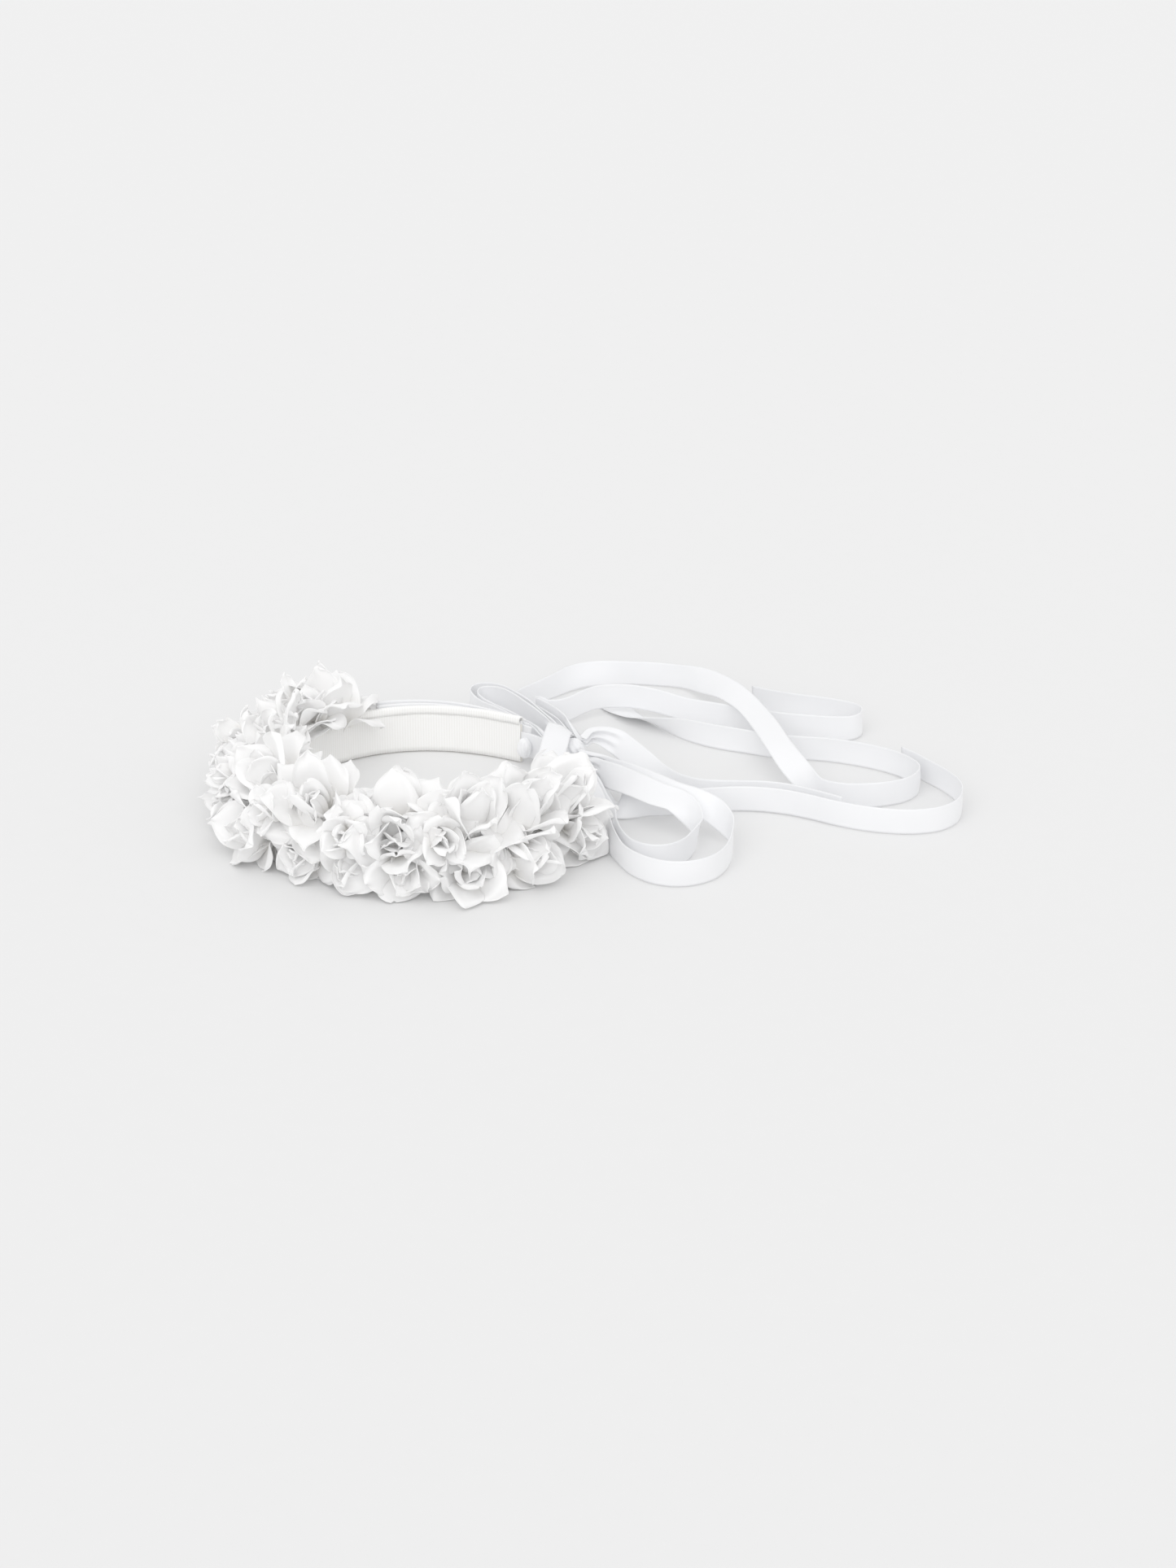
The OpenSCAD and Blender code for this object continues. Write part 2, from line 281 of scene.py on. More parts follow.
def smooth_step(t):
    t = min(1, max(0, t))
    return t * t * (3 - 2 * t)


# ---------------------------------------------------------------- ribbons
RIBBON_W = 15 * MM
RIBBON_T = 0.35 * MM
SELVEDGE = 0.9
ACROSS = 14


def ribbon(name, route, material=None, width=RIBBON_W, pinch=(0, 0), cup=0.5, ripple=0.5, seed=1):
    """A satin ribbon swept along a route of [x, y, z, turn] in mm and degrees.

    pinch is the length at each end, in mm, over which it gathers into pleats."""
    path, length = spline(route, 2.0)
    last = len(path) - 1
    centres = [Vector(p[:3]) * MM for p in path]
    points, uvs = [], []
    for i, centre in enumerate(centres):
        ahead = (centres[min(last, i + 1)] - centres[max(0, i - 1)]).normalized()
        side = UP.cross(ahead).normalized()
        turn = math.radians(path[i][3])
        across = math.cos(turn) * ahead.cross(side) + math.sin(turn) * side
        out = ahead.cross(across)
        along = length * i / last
        full = 1.0
        for near, reach in ((along, pinch[0]), (length - along, pinch[1])):
            if reach:
                full = min(full, 0.42 + 0.58 * smooth_step(near / reach))
        fold = width / 2 * math.sqrt(max(0, 1 - full * full)) / 3.2
        for face in (1, -1):
            for j in range(ACROSS + 1):
                s = face * (2 * j / ACROSS - 1)
                edge = 1.7 if abs(s) > SELVEDGE else 1.0
                wave = noise.noise(Vector((along / 28, s * 0.6, seed * 7.3))) * ripple * MM
                lift = cup * MM * (1 - s * s) + wave + fold * math.sin(s * 8.2 + seed)
                point = centre + across * (s * width / 2 * full) + out * lift
                points.append(point + out * (face * edge * RIBBON_T / 2))
                uvs.append((along * MM, (s + 1) / 2 * width))
    ring = 2 * (ACROSS + 1)
    faces = []
    for i in range(last):
        for j in range(ring):
            a, b = i * ring + j, i * ring + (j + 1) % ring
            faces.append((a, b, b + ring, a + ring))
    for base, flip in ((0, False), (last * ring, True)):
        for j in range(ACROSS):
            quad = (base + j, base + ring - 1 - j, base + ring - 2 - j, base + j + 1)
            faces.append(quad[::-1] if flip else quad)
    piece = mesh_object(name, points, faces, material or RIBBON_SATIN, uvs)
    return piece, [tuple(c) for c in centres], length * MM


TAIL_FAR = [
    [-9, 102, 17, 0], [-24, 105, 15, 0], [-42, 107, 13, 0], [-60, 108, 11, 0], [-74, 107, 9, 0],
    [-84, 108, 8, 0], [-90, 113, 8, 0], [-93, 121, 8, 0], [-96, 131, 8, 0], [-100, 144, 8, 5],
    [-104, 156, 8, 15], [-105, 165, 8, 20], [-102, 177, 8, 15], [-95, 190, 8, 0], [-84, 205, 8, 0],
    [-70, 216, 9, 0], [-49, 219, 13, 30], [-20, 216, 19, 60], [6, 213, 20, 80], [32, 207, 20, 80],
    [60, 199, 19, 80], [79, 196, 15, 60], [92, 197, 10, 30], [104, 199, 8, 0], [115, 205, 8, 0],
    [122, 215, 8, 0], [127, 228, 8, 0], [128, 241, 8, 0], [124, 251, 8, 0], [117, 257, 8, 0],
    [108, 258, 8, 0], [97, 256, 8, 0], [85, 251, 8, 0], [71, 242, 8, 0], [59, 231, 8, 0],
    [49, 219, 8, 0], [39, 208, 8, 0], [26, 198, 8, 0], [12, 187, 8, 0], [-3, 178, 8, 10],
    [-23, 171, 6, 40], [-44, 167, 3, 70], [-67, 167, 1, 90], [-84, 167, 1, 90], [-96, 166, 1, 90]]
TAIL_MIDDLE = [
    [-4, 106, 15, 0], [-18, 108, 16, 0], [-34, 110, 16, 0], [-50, 111, 15, 0], [-60, 111, 14, 0],
    [-67, 112, 12, 0], [-70, 115, 11, 0], [-68, 119, 9, 0], [-64, 125, 9, 0], [-62, 132, 10, 0],
    [-62, 141, 12, 0], [-62, 150, 13, 0], [-59, 160, 13, 0], [-52, 170, 13, 0], [-43, 181, 11, 0],
    [-30, 193, 8, 0], [-15, 204, 8, 0], [0, 215, 8, 0], [15, 228, 8, 0], [28, 242, 8, 0],
    [38, 254, 8, 0], [42, 263, 8, 0], [39, 271, 8, 0], [31, 275, 8, 0], [21, 271, 8, 0],
    [8, 261, 8, 0], [-3, 251, 8, 0], [-14, 243, 8, 0], [-25, 236, 8, 0]]
TAIL_SHORT = [
    [2, 104, 20, 0], [-1, 111, 21, 10], [1, 117, 20, 20], [7, 122, 18, 30], [17, 125, 15, 35],
    [31, 127, 12, 35], [44, 129, 9, 25], [57, 132, 8, 10], [68, 138, 8, 0], [77, 148, 8, 0],
    [85, 160, 8, 0], [93, 171, 8, 0], [103, 180, 8, 0], [117, 188, 8, 0], [131, 195, 8, 0]]
TAIL_NEAR = [
    [9, 98, 8, 0], [20, 97, 4, 60], [33, 95, 1, 90], [45, 92, 1, 90], [56, 91, 3, 70],
    [64, 95, 7, 30], [70, 104, 8, 0], [75, 115, 8, 0], [79, 126, 8, 0], [83, 138, 8, 0],
    [89, 151, 8, 0], [97, 163, 8, 0], [107, 173, 8, 0], [119, 181, 8, 0], [133, 189, 8, 0],
    [146, 198, 8, 0], [157, 209, 8, 0], [165, 221, 8, 0], [169, 235, 8, 0], [166, 248, 8, 0],
    [157, 258, 8, 0], [146, 264, 8, 0], [134, 266, 8, 0], [122, 266, 8, 0], [112, 265, 8, 0],
    [102, 264, 8, 0], [92, 262, 8, 0]]
FRONT_LOOP_OUTER = [
    [7, 91, 14, 0], [20, 87, 14, 20], [36, 84, 12, 45], [53, 79, 11, 55], [71, 73, 9, 45],
    [89, 67, 8, 20], [107, 62, 8, 5], [123, 59, 8, 0], [137, 61, 8, 0], [147, 66, 8, 0],
    [154, 74, 8, 0], [157, 84, 8, 0], [156, 95, 8, 0], [149, 107, 8, 0], [139, 117, 9, 0],
    [127, 124, 11, -10], [114, 123, 16, -30], [103, 116, 21, -55], [91, 109, 22, -55],
    [76, 105, 22, -50], [57, 102, 20, -30], [37, 100, 17, -10], [20, 98, 17, 0], [9, 97, 17, 0]]
FRONT_LOOP_INNER = [
    [8, 93, 11, 0], [21, 90, 11, 20], [37, 87, 10, 45], [54, 82, 8, 55], [72, 77, 8, 45],
    [89, 71, 8, 20], [106, 67, 8, 5], [119, 67, 8, 0], [128, 72, 8, 0], [132, 80, 8, 0],
    [131, 90, 8, 0], [125, 100, 8, 0], [118, 108, 10, -10], [109, 110, 16, -30],
    [98, 107, 21, -55], [87, 101, 22, -55], [71, 97, 22, -50], [52, 96, 19, -30],
    [34, 95, 16, -5], [19, 96, 14, 0], [10, 95, 12, 0]]
BACK_LOOP_OUTER = [
    [-9, 100, 15, 0], [-20, 101, 15, 0], [-34, 102, 15, 0], [-48, 103, 15, 0], [-62, 104, 15, 0],
    [-76, 103, 15, 0], [-88, 101, 15, 0], [-97, 97, 14, 0], [-101, 91, 13, 0], [-99, 86, 12, 0],
    [-92, 84, 11, 0], [-83, 85, 10, 0], [-72, 88, 10, 0], [-60, 90, 10, 0], [-46, 92, 10, 0],
    [-30, 93, 10, 0], [-12, 94, 10, 0]]
BACK_LOOP_INNER = [
    [-10, 98, 14, 0], [-21, 99, 15, 0], [-35, 100, 15, 0], [-49, 101, 15, 0], [-62, 101, 15, 0],
    [-74, 101, 15, 0], [-84, 99, 15, 0], [-91, 96, 14, 0], [-95, 92, 13, 0], [-93, 88, 12, 0],
    [-86, 87, 11, 0], [-78, 89, 10, 0], [-68, 91, 10, 0], [-56, 93, 10, 0], [-44, 94, 10, 0],
    [-30, 95, 10, 0], [-11, 96, 10, 0]]
KNOT_PINCH = 26


def bow_ribbon(node, route, pinch, seed):
    piece, path, length = ribbon(node + "_satin", route, pinch=pinch, cup=0.35, seed=seed)
    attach(piece, "bow")
    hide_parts(node)


def make_bow():
    tails = (("tail_far", TAIL_FAR), ("tail_middle", TAIL_MIDDLE),
             ("tail_short", TAIL_SHORT), ("tail_near", TAIL_NEAR))
    loops = (("front_loop_outer", FRONT_LOOP_OUTER), ("front_loop_inner", FRONT_LOOP_INNER),
             ("back_loop_outer", BACK_LOOP_OUTER), ("back_loop_inner", BACK_LOOP_INNER))
    for seed, (node, route) in enumerate(tails, 1):
        bow_ribbon(node, route, (KNOT_PINCH, 0), seed)
    for seed, (node, route) in enumerate(loops, 11):
        bow_ribbon(node, route, (KNOT_PINCH, KNOT_PINCH), seed)


make_bow()


# ---------------------------------------------------------------- the band's line
BAND_R = 81
POINT_OUT = 7
FAR_SPREAD, NEAR_SPREAD = 24, 11
BAND_FROM, BAND_TO = 20, 342
FLOWERS_FROM, FLOWERS_TO = 80, 304


def band_radius(angle):
    angle = angle - 360 if angle > 180 else angle
    spread = FAR_SPREAD if angle > 0 else NEAR_SPREAD
    return BAND_R + POINT_OUT * math.exp(-(angle / spread) ** 2)


def around(angle, out=0.0, z=0.0):
    """A point at an angle in degrees round from the bow, out from the lining, in mm."""
    r = band_radius(angle) + out
    a = math.radians(angle)
    return Vector((-r * math.sin(a), r * math.cos(a), z))


def outward(angle):
    a = math.radians(angle)
    return Vector((-math.sin(a), math.cos(a), 0))


def band_skin(name, node, start, end, profile, material, step, wave=None):
    """A closed strip round the band. profile is a loop of (out, z) in mm, and wave moves a point."""
    count = round((end - start) / step)
    points, faces, uvs = [], [], []
    size = len(profile)
    for i in range(count + 1):
        angle = start + (end - start) * i / count
        for j, (out, z) in enumerate(profile):
            if wave:
                out, z = wave(angle, out, z)
            points.append(around(angle, out, z) * MM)
            uvs.append((math.radians(angle) * BAND_R * MM, z * MM + out * MM))
    for i in range(count):
        for j in range(size):
            a, b = i * size + j, i * size + (j + 1) % size
            faces.append((a, a + size, b + size, b))
    faces.append(tuple(range(size)))
    faces.append(tuple(count * size + j for j in reversed(range(size))))
    piece = mesh_object(name, points, faces, material, uvs)
    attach(piece, "crown")
    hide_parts(node)
    return piece


def rib_phase(angle):
    return 2 * math.pi * math.radians(angle) * BAND_R / RIB_PITCH


def ribbed(angle, out, z):
    """Grosgrain: rounded cross ribs on the inner face and a fine scallop at both edges."""
    rib = 0.5 + 0.5 * math.cos(rib_phase(angle))
    sag = 0.5 * noise.noise(Vector((angle / 9, z / 20, 3)))
    if out < 0.4:
        out = out - 0.42 * rib
    edge = 0.22 * rib if z > 12 else -0.22 * rib
    return out + sag * 0.4, z + (edge if z < 1.2 or z > 24 else 0)


def ribbed_fold(angle, out, z):
    """The ribs carried faintly over the folded top edge."""
    rib = 0.12 * math.cos(rib_phase(angle)) if out < 0.8 else 0
    sway = noise.noise(Vector((angle / 11, z / 16, 9)))
    return out + 0.25 * sway - rib, z + 0.3 * noise.noise(Vector((angle / 8, 1, 4)))


def soft_wave(angle, out, z):
    sway = noise.noise(Vector((angle / 11, z / 16, 9)))
    return out + 0.35 * sway, z + 0.25 * noise.noise(Vector((angle / 7, out, 4)))


def rounded_strip(out0, out1, z0, z1, rows):
    """A tall thin loop, with rows of points up each face."""
    up = [(out0, z0 + (z1 - z0) * k / rows) for k in range(rows + 1)]
    down = [(out1, z1 - (z1 - z0) * k / rows) for k in range(rows + 1)]
    return up + down


def make_band():
    lining = band_skin(
        "lining_cloth", "grosgrain_lining", BAND_FROM, BAND_TO,
        rounded_strip(0.4, 0.8, 0.8, 25.0, 8), GROSGRAIN, 0.177, ribbed)
    cover = band_skin(
        "cover_cloth", "satin_cover", BAND_FROM, BAND_TO,
        rounded_strip(2.45, 2.95, 0.0, 25.4, 8), RIBBON_SATIN, 1.5, soft_wave)
    fold = [(3.3, 24.4), (3.35, 27.6), (2.9, 28.3), (1.5, 28.6), (0.3, 28.5), (-0.2, 27.9),
            (-0.3, 26.0), (-0.25, 24.2), (0.1, 24.2), (0.25, 26.0), (0.3, 27.6), (1.5, 27.9),
            (2.8, 27.5), (2.9, 24.4)]
    binding = band_skin(
        "binding_cloth", "top_binding", BAND_FROM, BAND_TO, fold[::-1], GROSGRAIN, 0.5, ribbed_fold)
    pad = [(10.2 + 6.5 * math.copysign(abs(math.cos(t)) ** 0.5, math.cos(t)),
            12.5 + 12.4 * math.copysign(abs(math.sin(t)) ** 0.5, math.sin(t)))
           for t in [math.radians(d) for d in range(0, 360, 15)]]
    felt = band_skin("felt_roll", "felt_pad", FLOWERS_FROM, FLOWERS_TO, pad[::-1], FELT, 2.0, soft_wave)
    for node, material in (("band_core", BUCKRAM), ("edge_wire", WIRE)):
        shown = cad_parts[node]
        shown.data.materials.clear()
        shown.data.materials.append(material)


make_band()


# ---------------------------------------------------------------- straps and ties
def tie_route(start, end, out, z0, z1):
    """A tie outside the band, dropping from z0 to z1 on the way to the knot."""
    count = 14
    route = []
    for k in range(count + 1):
        share = k / count
        p = around(start + (end - start) * share, out, z0 + (z1 - z0) * share ** 2)
        route.append([p.x, p.y, p.z, 0])
    return route


NEAR_TIE_OUTER = [
    [56, 50, 12, 20], [46, 59, 14, 40], [28, 65, 18, 70], [9, 80, 24, 75], [-3, 90, 27, 80],
    [-12, 97, 25, 65]]
PAD_OUT = 3.2


def crown_ribbon(node, route, **shape):
    piece, _, length = ribbon(node + "_satin", route, **shape)
    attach(piece, "crown")
    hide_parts(node)


def make_ties():
    for i, (name, end, out, z0, z1) in enumerate((
            ("inner", 17, 0.8, 20, 15), ("middle", 19, 2.4, 21.5, 16), ("outer", 21, 4.0, 23, 17))):
        route = tie_route(FLOWERS_FROM - 1, end, PAD_OUT + out, z0, z1)
        crown_ribbon("far_tie_" + name, route, cup=0.3, ripple=0.7, seed=31 + i)
    crown_ribbon("near_tie_inner", tie_route(FLOWERS_TO + 1, 346, PAD_OUT + 0.8, 16, 16), cup=0.2, seed=34)
    crown_ribbon("near_tie_outer", NEAR_TIE_OUTER, cup=1.0, ripple=0.8, seed=35)
    strap = [[*around(a, 0.4, 12.5), 0] for a in (19.5, 14, 8, 3, -3, -8, -13, -17.5)]
    crown_ribbon("back_strap", strap, cup=0.1, ripple=0.1, seed=36)
    wrap = band_skin(
        "strap_wrap_satin", "strap_wrap", -8, 3,
        [(-1.2, 12.5), (-1.0, 3.0), (0.4, 2.6), (1.9, 3.0), (2.0, 12.5), (1.9, 21.0),
         (0.4, 21.4), (-1.0, 21.0)], RIBBON_SATIN, 0.8, soft_wave)


make_ties()


def gathered_knob(name, centre, radii, pleats, body, node, seed):
    """A knob of ribbon pulled tight: pleats run over it from end to end."""
    rows, columns = 28, 72
    points, faces, uvs = [], [], []
    for i in range(rows + 1):
        polar = math.pi * i / rows
        for j in range(columns):
            turn = 2 * math.pi * j / columns
            swirl = turn + 0.5 * math.cos(polar) + 0.3 * noise.noise(Vector((polar, turn / 2, seed)))
            crease = 1 + 0.09 * math.sin(polar) * math.sin(pleats * swirl)
            lump = 1 + 0.10 * noise.noise(Vector((math.cos(turn), math.sin(turn), polar + seed)))
            r = crease * lump
            points.append(Vector(centre) * MM + Vector((
                radii[0] * math.sin(polar) * math.cos(turn) * r,
                radii[1] * math.sin(polar) * math.sin(turn) * r,
                radii[2] * math.cos(polar) * lump)) * MM)
            uvs.append((turn * 0.006, polar * 0.006))
    for i in range(rows):
        for j in range(columns):
            k = (j + 1) % columns
            faces.append((i * columns + j, (i + 1) * columns + j,
                          (i + 1) * columns + k, i * columns + k))
    piece = mesh_object(name, points, faces, RIBBON_SATIN, uvs)
    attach(piece, body)
    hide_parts(node)
    return piece


gathered_knob("knot_satin", (1, 98, 15), (6.5, 6.5, 7.5), 9, "bow", "bow_knot", 5)
gathered_knob("gather_satin", (-22.5, 79, 12), (4.2, 4.2, 6.2), 7, "crown", "end_gather", 8)


# ---------------------------------------------------------------- roses
PETAL_ROWS, PETAL_COLUMNS = 11, 13
PETAL_T = 0.45 * MM
WIDEST_AT = 0.58
CURL_FROM = 0.66
WAVE_LENGTH = 15
SUNK = 0.30


class Cloth:
    """Petal points, faces and cloth coordinates, collected for one mesh."""

    def __init__(self):
        self.points, self.faces, self.uvs, self.rim = [], [], [], []

    def piece(self, name, material):
        made = mesh_object(name, self.points, self.faces, material, self.uvs)
        rim = made.data.attributes.new("rim", "FLOAT", "POINT")
        rim.data.foreach_set("value", self.rim)
        return made


def petal_half_width(t):
    """The share of the full half width at t, which runs from 0 at the base to 1 at the tip."""
    if t < WIDEST_AT:
        return 0.38 + 0.62 * math.sin(math.pi / 2 * t / WIDEST_AT)
    return math.sqrt(1 - 0.96 * ((t - WIDEST_AT) / (1 - WIDEST_AT)) ** 2.3)


def petal(cloth, place, p, rng):
    """Adds one cupped petal. Its spine leans from lean0 to lean1, in degrees from the rose's axis."""
    base = len(cloth.points)
    at = math.radians(p["at"])
    radial = Vector((math.cos(at), math.sin(at), 0))
    sideways = Vector((-math.sin(at), math.cos(at), 0))
    seed = rng.uniform(0, 90)
    pleat = rng.uniform(0, 6.3)
    skew = rng.uniform(-0.16, 0.16)
    tip = rng.uniform(0, 1) * p["point"]
    bend = p["cup"] / p["width"]
    r, z = p["base_r"], p["base_z"]
    before = 0
    for i in range(PETAL_ROWS + 1):
        t = 1 - (1 - i / PETAL_ROWS) ** 1.35
        step = (t - before) * p["length"]
        before = t
        lean = math.radians(p["lean0"] + (p["lean1"] - p["lean0"]) * t ** 1.4)
        r += math.sin(lean) * step
        z += math.cos(lean) * step
        inward = UP * math.sin(lean) - radial * math.cos(lean)
        ahead = UP * math.cos(lean) + radial * math.sin(lean)
        half = p["width"] / 2 * petal_half_width(t)
        for j in range(PETAL_COLUMNS + 1):
            s = 2 * j / PETAL_COLUMNS - 1
            theta = s * half * bend * (1 - 0.35 * t)
            spine = radial * r + UP * z + sideways * (skew * t * t * p["width"])
            here = spine + sideways * (math.sin(theta) / bend) + inward * ((1 - math.cos(theta)) / bend)
            edge = (abs(s) ** 4 + max(0, (t - 0.3) / 0.7) ** 4) ** 0.25
            roll = smooth_step((edge - CURL_FROM) / (1 - CURL_FROM)) ** 1.5
            turned = 0.45 + 1.1 * noise.noise(Vector((s * 1.3, t * 1.6, seed)))
            fold = noise.noise(here / WAVE_LENGTH + Vector((seed, 0, seed)))
            ripple = noise.noise(here / (0.45 * WAVE_LENGTH) + Vector((0, seed, 0)))
            push = p["wave"] * (0.25 + edge * edge) * (fold + 0.3 * ripple)
            push += 0.55 * (1 - 0.75 * t) * math.sin(6 * s + pleat)
            push -= p["roll"] * roll * max(-0.3, turned)
            here += inward * push
            here += ahead * (tip * (1 - abs(s)) ** 2 * t ** 6 - 0.5 * p["roll"] * roll * max(0, turned))
            here -= ahead * (0.05 * p["length"] * s * s * t ** 4)
            cloth.points.append(place @ (here * MM))
            cloth.uvs.append((t * p["length"] * MM, (s + 1) * half * MM))
            cloth.rim.append(t)
    for i in range(PETAL_ROWS):
        for j in range(PETAL_COLUMNS):
            a = base + i * (PETAL_COLUMNS + 1) + j
            cloth.faces.append((a, a + 1, a + PETAL_COLUMNS + 2, a + PETAL_COLUMNS + 1))


# Rings of petals from the heart outward: count, then lean0 and lean1 in degrees, then the
# length and width, the cup, the roll of the rim and the wave, as shares of the rose's size
ROSE_STYLES = {
    "open": [
        (3, 4, -30, 0.44, 0.40, 2.2, 0.02, 0.03),
        (3, 14, -6, 0.52, 0.58, 1.8, 0.06, 0.04),
        (4, 30, 36, 0.60, 0.66, 1.4, 0.10, 0.05),
        (4, 52, 84, 0.58, 0.68, 1.0, 0.13, 0.06),
        (4, 76, 116, 0.48, 0.62, 0.7, 0.10, 0.06)],
    "full": [
        (3, 4, -14, 0.46, 0.34, 2.4, 0.02, 0.03),
        (3, 14, -6, 0.54, 0.46, 2.0, 0.06, 0.04),
        (4, 28, 24, 0.58, 0.50, 1.6, 0.08, 0.05),
        (5, 46, 66, 0.56, 0.50, 1.2, 0.10, 0.05),
        (6, 70, 106, 0.52, 0.50, 0.9, 0.10, 0.06)],
    "tulip": [
        (2, 0, -12, 0.52, 0.40, 2.4, 0.03, 0.03),
        (3, 14, -10, 0.62, 0.56, 2.0, 0.07, 0.04),
        (3, 30, 22, 0.64, 0.68, 1.6, 0.10, 0.05),
        (4, 54, 80, 0.60, 0.70, 1.1, 0.13, 0.06),
        (4, 78, 118, 0.48, 0.62, 0.8, 0.10, 0.06)],
    "bud": [
        (3, 4, -14, 0.64, 0.36, 2.4, 0.04, 0.04),
        (3, 12, -12, 0.72, 0.50, 2.1, 0.07, 0.05),
        (4, 22, 4, 0.70, 0.56, 1.7, 0.10, 0.06),
        (4, 44, 66, 0.56, 0.58, 1.2, 0.12, 0.06),
        (4, 70, 110, 0.46, 0.56, 0.8, 0.10, 0.06)],
    "swirl": [
        (3, 2, -30, 0.36, 0.38, 2.4, 0.04, 0.03),
        (3, 20, -12, 0.44, 0.56, 2.0, 0.07, 0.04),
        (4, 38, 30, 0.52, 0.62, 1.5, 0.10, 0.05),
        (4, 60, 80, 0.54, 0.66, 1.1, 0.12, 0.06),
        (4, 80, 114, 0.46, 0.60, 0.8, 0.10, 0.06)],
    "ruffle": [
        (3, 6, -6, 0.44, 0.36, 2.2, 0.06, 0.07),
        (4, 24, 14, 0.50, 0.46, 1.8, 0.09, 0.09),
        (5, 44, 52, 0.54, 0.48, 1.4, 0.11, 0.10),
        (5, 66, 90, 0.52, 0.50, 1.1, 0.12, 0.10),
        (5, 84, 118, 0.42, 0.48, 0.8, 0.10, 0.08)],
    "tuft": [
        (3, 14, -4, 0.52, 0.54, 1.8, 0.07, 0.05),
        (4, 40, 46, 0.58, 0.64, 1.4, 0.11, 0.06),
        (4, 70, 102, 0.50, 0.62, 1.0, 0.10, 0.06)]}


def add_rose(cloth, place, size, style, rng):
    turn = rng.uniform(0, 360)
    for ring, (count, lean0, lean1, length, width, cup, roll, wave) in enumerate(ROSE_STYLES[style]):
        turn += rng.uniform(35, 75)
        for k in range(count):
            grow = rng.uniform(0.86, 1.14)
            nod = rng.uniform(-9, 9)
            petal(cloth, place, dict(
                at=turn + 360 * k / count + rng.uniform(-14, 14),
                lean0=lean0 + nod / 2, lean1=lean1 + nod * 1.6,
                length=length * size * grow, width=width * size * rng.uniform(0.88, 1.12),
                cup=cup * rng.uniform(0.8, 1.2), roll=roll * size, wave=wave * size,
                base_r=0.02 * size * (ring + 1), base_z=-0.015 * size * ring,
                point=(0.10 if style == "ruffle" else 0.03) * size), rng)


def standing_on(centre, angle, tilt, twist, size):
    """Puts +Z outward from the band and up by tilt degrees, turned sideways by twist degrees.

    The rose's base is sunk by a share of its size, so that its middle is at the centre."""
    lean = math.radians(tilt)
    face = outward(angle + twist) * math.cos(lean) + UP * math.sin(lean)
    turned = Matrix.Translation(centre) @ face.to_track_quat("Z", "Y").to_matrix().to_4x4()
    return turned @ Matrix.Translation((0, 0, -SUNK * size * MM))


def finish_petals(piece, node):
    thick = piece.modifiers.new("thickness", "SOLIDIFY")
    thick.thickness = PETAL_T
    thick.offset = 0
    smooth = piece.modifiers.new("smooth", "SUBSURF")
    smooth.levels = 1
    smooth.render_levels = 1
    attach(piece, "crown")
    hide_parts(node)


def node_centre(node):
    low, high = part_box(node)
    return (Vector(low) + Vector(high)) / 2


def angle_of(centre):
    return math.degrees(math.atan2(-centre.x, centre.y)) % 360


FLOOR_GAP = 0.4 * MM
BENDS_BELOW = 4 * MM
BEND_SOFTNESS = 3.6 * MM


def above_table(cloth):
    """Bends any petal that would go through the table up to lie on it."""
    for i, point in enumerate(cloth.points):
        if point.z < BENDS_BELOW:
            raised = FLOOR_GAP + BEND_SOFTNESS * math.exp((point.z - BENDS_BELOW) / BEND_SOFTNESS)
            cloth.points[i] = Vector((point.x, point.y, raised))


def make_rose(node, size, style, tilt, twist, shift, seed):
    """shift moves the rose along the band towards its near end, outward and up, in mm."""
    rng = random.Random(seed)
    centre = node_centre(node)
    angle = angle_of(centre)
    along = outward(angle + 90)
    centre = centre + (along * shift[0] + outward(angle) * shift[1] + UP * shift[2]) * MM
    place = standing_on(centre, angle, tilt, twist, size)
    cloth = Cloth()
    add_rose(cloth, place, size, style, rng)
    above_table(cloth)
    finish_petals(cloth.piece(node + "_petals", PETAL_SATIN), node)


# size, style, tilt, twist, then shift along, out and up
UPPER_ROSES = [
    (56, "tulip", 62, 0, (4, -2, -5)),
    (52, "ruffle", 56, 0, (0, 0, -3)),
    (52, "ruffle", 36, 0, (0, 0, 0)),
    (54, "open", 44, 0, (0, 0, 0)),
    (64, "full", 44, 16, (-3, 1, 0)),
    (68, "full", 24, 0, (0, 7, -10)),
    (60, "bud", 66, 0, (-6, 0, -2)),
    (60, "tulip", 50, 20, (9, 2, -6))]
LOWER_ROSES = [
    (44, "swirl", 5, 0, (0, 0, 0)),
    (44, "ruffle", 0, 0, (0, 0, 2)),
    (44, "tulip", 5, 0, (0, 0, 0)),
    (46, "ruffle", 0, 0, (0, 0, 2)),
    (48, "ruffle", 0, 0, (0, 0, 0)),
    (52, "open", 10, -10, (0, 0, 3)),
    (44, "swirl", 8, 0, (2, -3, -1)),
    (40, "tulip", -5, 0, (0, -5, -1)),
    (46, "open", -8, 0, (-3, -3, -1)),
    (52, "swirl", 22, 0, (-3, 2, 1)),
    (50, "tulip", 12, 14, (-4, 0, 3)),
    (48, "open", 14, 0, (2, 0, 3))]


def make_roses():
    for prefix, roses, seed in (("upper_rose_", UPPER_ROSES, 100), ("lower_rose_", LOWER_ROSES, 200)):
        for i, (size, style, tilt, twist, shift) in enumerate(roses):
            make_rose(prefix + str(i + 1), size, style, tilt, twist, shift, seed + i)


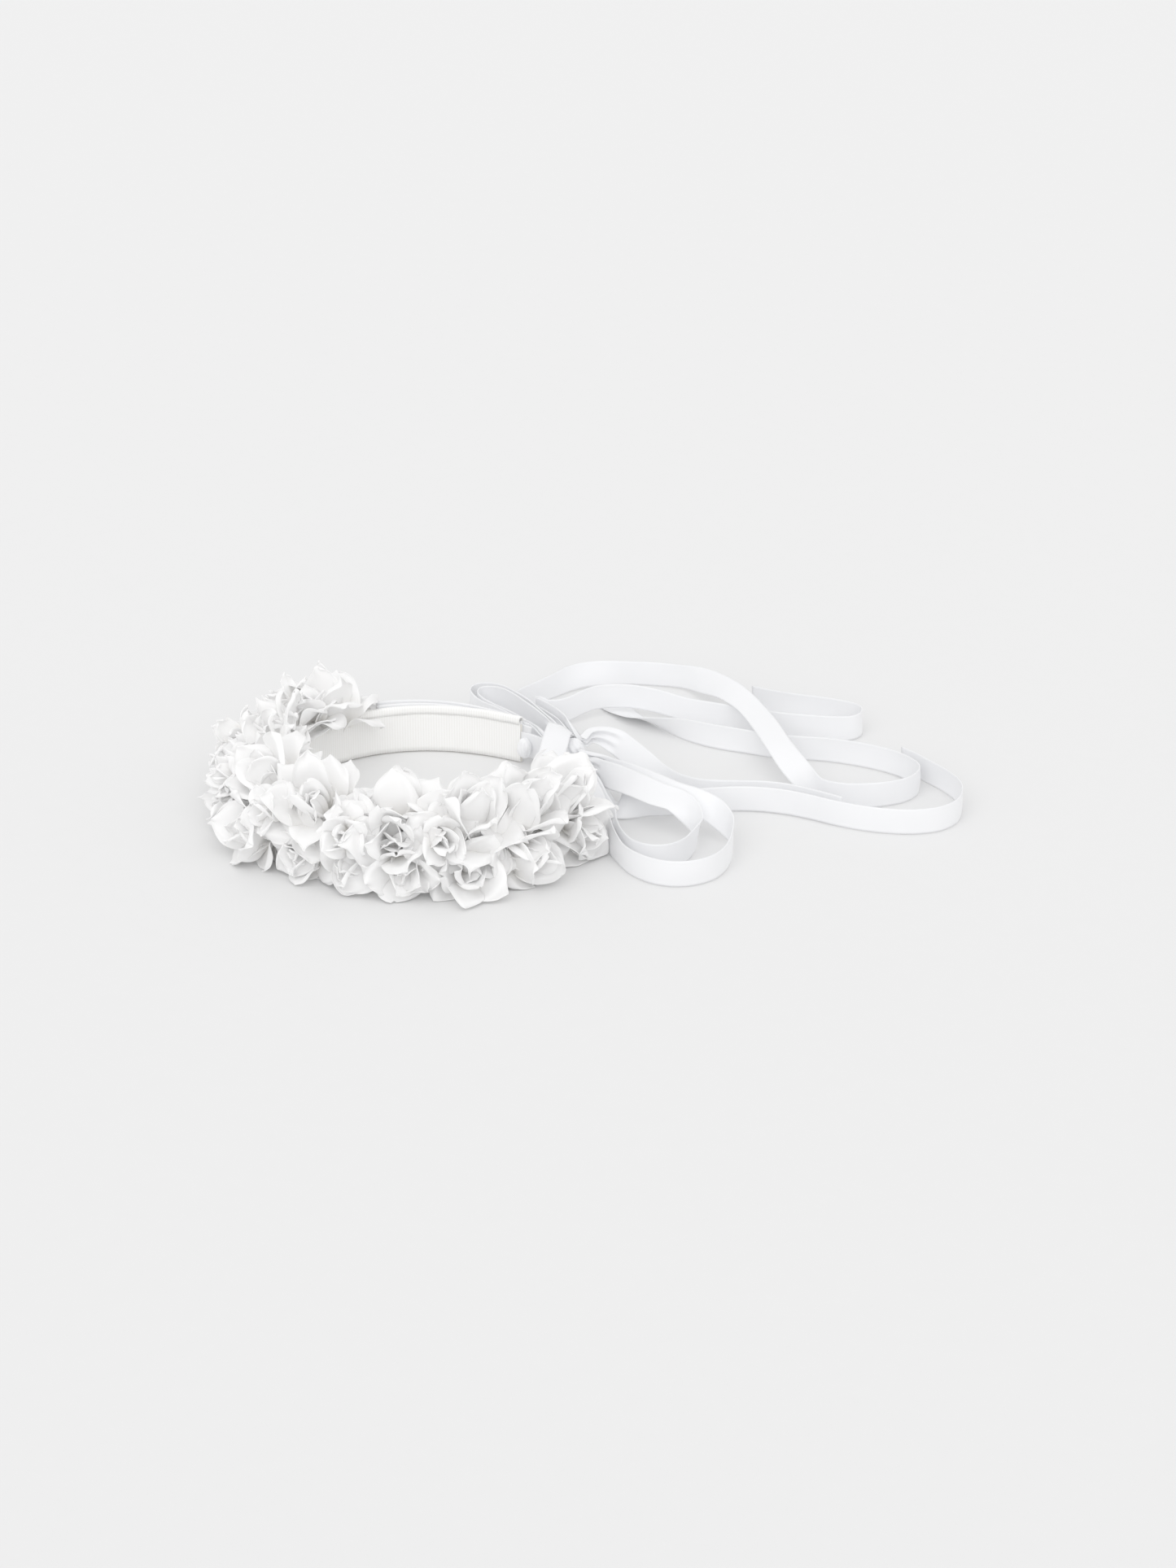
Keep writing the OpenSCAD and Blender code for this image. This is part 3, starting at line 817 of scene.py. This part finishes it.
def make_buds(node, buds, seed):
    """The small flowers between the upper roses. Each has a size, style, out, up and tilt."""
    rng = random.Random(seed)
    cloth = Cloth()
    for i, (size, style, out, z, tilt) in enumerate(buds):
        angle = FLOWERS_FROM + (FLOWERS_TO - FLOWERS_FROM) * (i + 1) / len(UPPER_ROSES)
        place = standing_on(around(angle, out, z) * MM, angle, tilt, rng.uniform(-12, 12), size)
        add_rose(cloth, place, size, style, rng)
    above_table(cloth)
    finish_petals(cloth.piece(node + "_petals", PETAL_SATIN), node)


# size, style, out from the band, height and tilt
INNER_BUDS = [
    (36, "tuft", 4, 42, 80), (34, "ruffle", 4, 44, 78), (34, "ruffle", 4, 44, 78),
    (36, "tuft", 3, 43, 80), (38, "tuft", 2, 42, 84), (34, "tuft", 4, 42, 82), (34, "tuft", 5, 40, 80)]
OUTER_BUDS = [
    (36, "ruffle", 32, 36, 18), (36, "ruffle", 32, 36, 15), (36, "ruffle", 32, 36, 15),
    (36, "tuft", 32, 36, 15), (34, "tuft", 30, 34, 12), (36, "tulip", 28, 34, 16),
    (60, "bud", 20, 40, 54)]


make_roses()
make_buds("inner_buds", INNER_BUDS, 301)
make_buds("outer_buds", OUTER_BUDS, 302)


# ---------------------------------------------------------------- table and light
TABLE_GAP = 0.0003


def make_stage():
    """A pale table, even light all round and one wide lamp from the camera's side."""
    floor = mesh_object(
        "table_top", [(-6, -6, 0), (6, -6, 0), (6, 6, 0), (-6, 6, 0)], [(0, 1, 2, 3)],
        matt_cloth("table_paint", (0.735, 0.735, 0.735), (0.731, 0.731, 0.731), 4))
    floor.location.z = -TABLE_GAP
    scene = bpy.context.scene
    world = bpy.data.worlds.new("studio")
    world.use_nodes = True
    background = world.node_tree.nodes["Background"]
    background.inputs["Color"].default_value = (1, 1, 1, 1)
    background.inputs["Strength"].default_value = 0.84
    scene.world = world
    key = bpy.data.lights.new("key", "SUN")
    key.energy = 1.3
    key.angle = math.radians(70)
    lamp = bpy.data.objects.new("key", key)
    lamp.rotation_euler = Vector((0.6, -0.5, 0.85)).to_track_quat("Z", "Y").to_euler()
    scene.collection.objects.link(lamp)
    scene.view_settings.view_transform = "Standard"
    scene.view_settings.look = "None"
    scene.view_settings.exposure = -0.08
    # Lifts the middle tones, so that the shade between white petals stays pale
    scene.view_settings.gamma = 1.5


make_stage()
